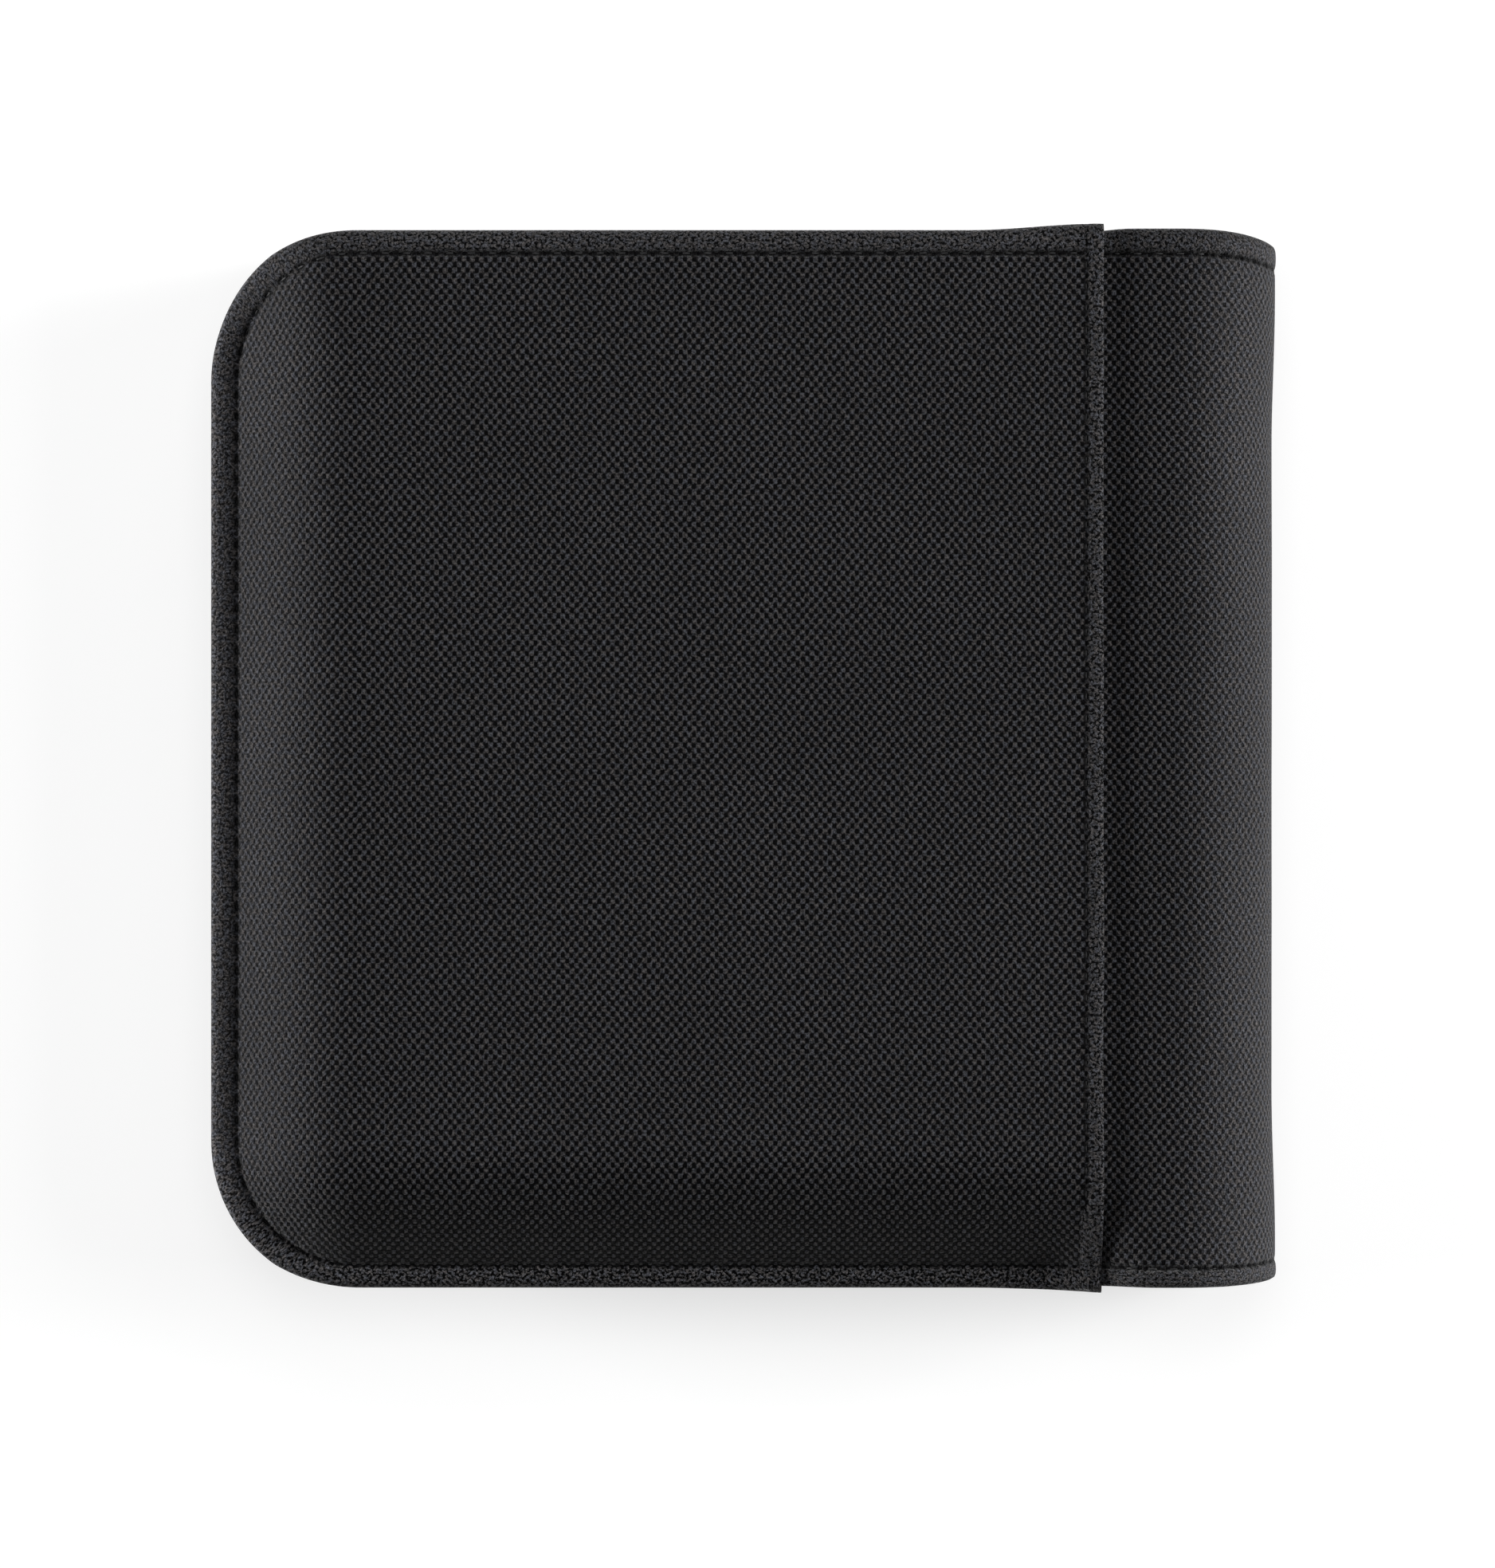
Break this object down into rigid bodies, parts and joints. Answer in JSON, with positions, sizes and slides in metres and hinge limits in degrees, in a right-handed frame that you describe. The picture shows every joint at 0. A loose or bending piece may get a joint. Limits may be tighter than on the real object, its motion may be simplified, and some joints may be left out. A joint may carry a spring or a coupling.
{
  "type": "bifold wallet",
  "caption": "Soft fabric bifold wallet with a rounded fold, a note compartment, inner card slots and an outer slip pocket.",
  "frame": {"origin": "under the middle of the closed wallet's box, on the surface its back cover lies on", "axes": "+X towards the fold, +Y towards the mouth of the note compartment, +Z from the back cover to the front cover"},
  "size_m": [0.1, 0.1, 0.0208],
  "materials": {
    "shell_fabric": "matt black plain-woven nylon with a fine visible weave",
    "lining_fabric": "smooth black taffeta lining",
    "panel_fabric": "matt black plain-woven nylon, lighter weight",
    "foam": "thin grey foam interlining, not seen",
    "binding_tape": "black ribbed binding tape",
    "thread": "black bonded sewing thread"
  },
  "bodies": {
    "back_cover": {"back_foam": "foam", "back_lining": "lining_fabric", "back_seam_allowance": "lining_fabric", "back_inner_wall": "panel_fabric", "back_tape_stitching": "thread", "back_inner_tape": "binding_tape", "back_card_slot_low": "panel_fabric", "back_card_slot_mid": "panel_fabric", "back_card_slot_top": "panel_fabric", "back_edge_stitching": "thread", "back_mouth_stitching": "thread", "back_shell": "shell_fabric"},
    "spine_1": {"spine_shell_1": "shell_fabric", "spine_lining_1": "lining_fabric", "spine_stitching_1": "thread"},
    "spine_2": {"spine_shell_2": "shell_fabric", "spine_lining_2": "lining_fabric", "spine_stitching_2": "thread"},
    "spine_3": {"spine_shell_3": "shell_fabric", "spine_lining_3": "lining_fabric", "spine_stitching_3": "thread"},
    "front_cover": {"front_foam": "foam", "front_lining": "lining_fabric", "front_seam_allowance": "lining_fabric", "front_inner_wall": "panel_fabric", "front_tape_stitching": "thread", "front_inner_tape": "binding_tape", "front_card_slot_low": "panel_fabric", "front_card_slot_mid": "panel_fabric", "front_card_slot_top": "panel_fabric", "front_edge_stitching": "thread", "front_mouth_stitching": "thread", "front_pocket_stitching": "thread", "front_slip_pocket": "shell_fabric", "front_shell": "shell_fabric"}
  },
  "joints": [
    {"name": "fold_1", "type": "hinge", "parent": "back_cover", "child": "spine_1", "pos_m": [0.04393, 0, 0.00052], "axis": [0, 1, 0], "range_deg": [0, 44]},
    {"name": "fold_2", "type": "hinge", "parent": "spine_1", "child": "spine_2", "pos_m": [0.04948, 0, 0.00607], "axis": [0, 1, 0], "range_deg": [0, 44]},
    {"name": "fold_3", "type": "hinge", "parent": "spine_2", "child": "spine_3", "pos_m": [0.04948, 0, 0.01393], "axis": [0, 1, 0], "range_deg": [0, 44]},
    {"name": "fold_4", "type": "hinge", "parent": "spine_3", "child": "front_cover", "pos_m": [0.04393, 0, 0.01948], "axis": [0, 1, 0], "range_deg": [0, 44]}
  ],
  "couplings": [
    {"joint": "fold_2", "follows": "fold_1", "ratio": 1},
    {"joint": "fold_3", "follows": "fold_1", "ratio": 1},
    {"joint": "fold_4", "follows": "fold_1", "ratio": 1}
  ]
}
